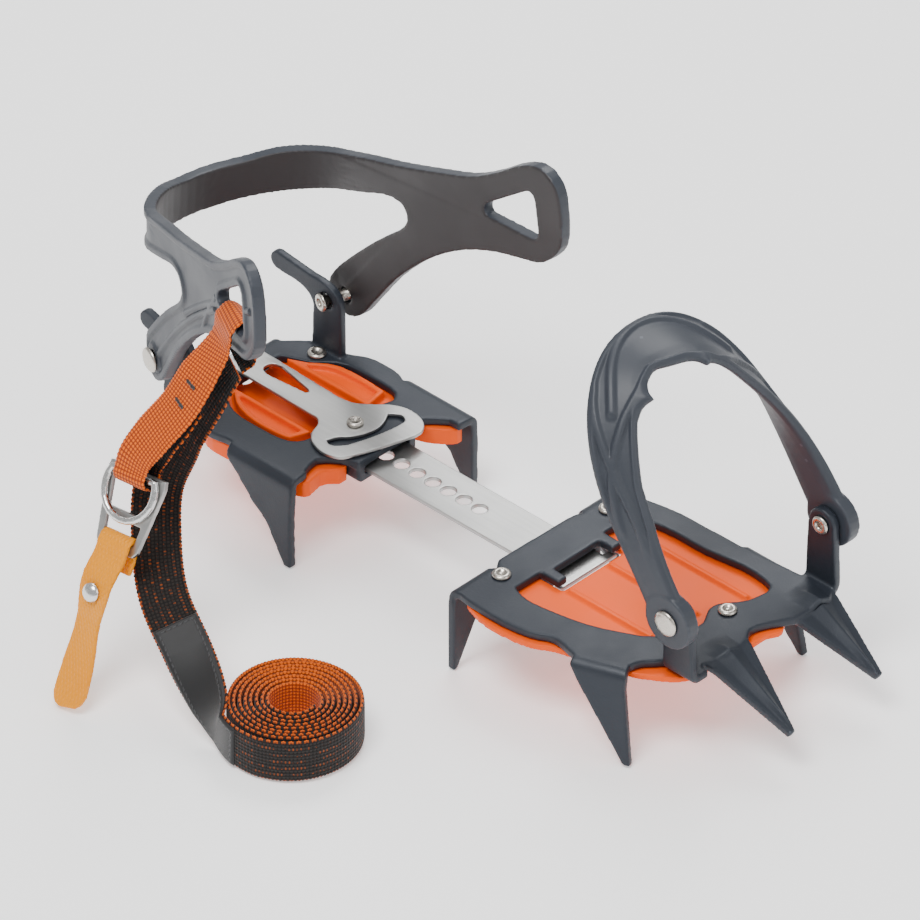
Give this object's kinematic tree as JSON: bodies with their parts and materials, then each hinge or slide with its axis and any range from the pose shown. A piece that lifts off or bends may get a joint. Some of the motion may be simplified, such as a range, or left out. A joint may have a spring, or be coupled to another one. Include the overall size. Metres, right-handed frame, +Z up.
{
  "type": "strap-on crampon",
  "caption": "Steel strap-on crampon for a hiking boot: pointed toe and heel plates on a sliding bar, moulded toe bail and heel cradle, spring length lock, webbing strap.",
  "frame": {"origin": "on the ground, under the middle of the box round the steel and plastic pieces; the strap and its buckle are left out", "axes": "+X from heel to toe along the linking bar, +Y to the wearer's left, +Z up; the point tips stand on z = 0"},
  "size_m": [0.2816, 0.2022, 0.1579],
  "materials": {
    "plate_paint": "satin dark blue-grey coating",
    "stainless": "fine brushed",
    "rivet_steel": "bright, turned",
    "grey_plastic": "matte moulded",
    "orange_plastic": "satin moulded",
    "orange_webbing": "woven",
    "black_webbing": "woven, orange backed",
    "label_cloth": "satin, blank",
    "tab_plastic": "soft, slightly clear"
  },
  "bodies": {
    "toe_section": {"front_plate": "plate_paint", "front_antiball_plate": "orange_plastic", "front_plate_rivet_near_rear": "rivet_steel", "front_plate_rivet_far_rear": "rivet_steel", "front_plate_rivet_front": "rivet_steel", "toe_bail_rivet_near": "rivet_steel", "toe_bail_rivet_far": "rivet_steel"},
    "toe_bail": {"toe_bail": "grey_plastic"},
    "link_bar": {"link_bar": "stainless"},
    "heel_section": {"rear_plate": "plate_paint", "rear_antiball_plate": "orange_plastic", "rear_plate_rivet_far": "rivet_steel", "rear_plate_rivet_near": "rivet_steel", "spring_leaf_rivet": "rivet_steel", "heel_cradle_rivet_near": "rivet_steel", "heel_cradle_rivet_far": "rivet_steel"},
    "length_lock": {"spring_leaf": "stainless", "lock_pin": "rivet_steel"},
    "heel_cradle": {"heel_cradle": "grey_plastic"},
    "strap": {"strap_front": "orange_webbing", "strap_tail": "black_webbing", "strap_roll": "black_webbing", "strap_label": "label_cloth"},
    "ring": {"d_ring": "stainless"},
    "buckle": {"buckle_plate": "stainless", "pull_tab": "tab_plastic", "pull_tab_rivet": "rivet_steel"}
  },
  "joints": [
    {"name": "toe_bail_hinge", "type": "hinge", "parent": "toe_section", "child": "toe_bail", "pos_m": [0.10635, 0.02897, 0.056], "axis": [0, 1, 0], "range_deg": [-45, 100]},
    {"name": "bar_rock", "type": "hinge", "parent": "toe_section", "child": "link_bar", "pos_m": [0.03235, 0.01707, 0.028], "axis": [0, 1, 0], "range_deg": [-2, 2]},
    {"name": "length_slide", "type": "slide", "parent": "link_bar", "child": "heel_section", "axis": [1, 0, 0], "range_m": [-0.0072, 0.036]},
    {"name": "lock_lift", "type": "hinge", "parent": "heel_section", "child": "length_lock", "pos_m": [-0.11265, 0.01807, 0.0333], "axis": [0, -1, 0], "range_deg": [0, 6], "deforming": ["spring_leaf"]},
    {"name": "heel_cradle_hinge", "type": "hinge", "parent": "heel_section", "child": "heel_cradle", "pos_m": [-0.10855, 0.01547, 0.0535], "axis": [0.279, 0.9603, 0], "range_deg": [-70, 0]},
    {"name": "strap_hang", "type": "hinge", "parent": "heel_cradle", "child": "strap", "pos_m": [-0.04295, -0.05823, 0.12], "axis": [0.279, 0.9603, 0], "range_deg": [0, 70], "deforming": ["strap_front", "strap_tail", "strap_label"]},
    {"name": "ring_swing", "type": "hinge", "parent": "strap", "child": "ring", "pos_m": [-0.05885, -0.09083, 0.073], "axis": [1, 0, 0], "range_deg": [-10, 0]},
    {"name": "buckle_swing", "type": "hinge", "parent": "strap", "child": "buckle", "pos_m": [-0.05885, -0.08963, 0.0724], "axis": [1, 0, 0], "range_deg": [0, 5]}
  ],
  "couplings": [
    {"joint": "strap_hang", "follows": "heel_cradle_hinge", "ratio": -1}
  ]
}
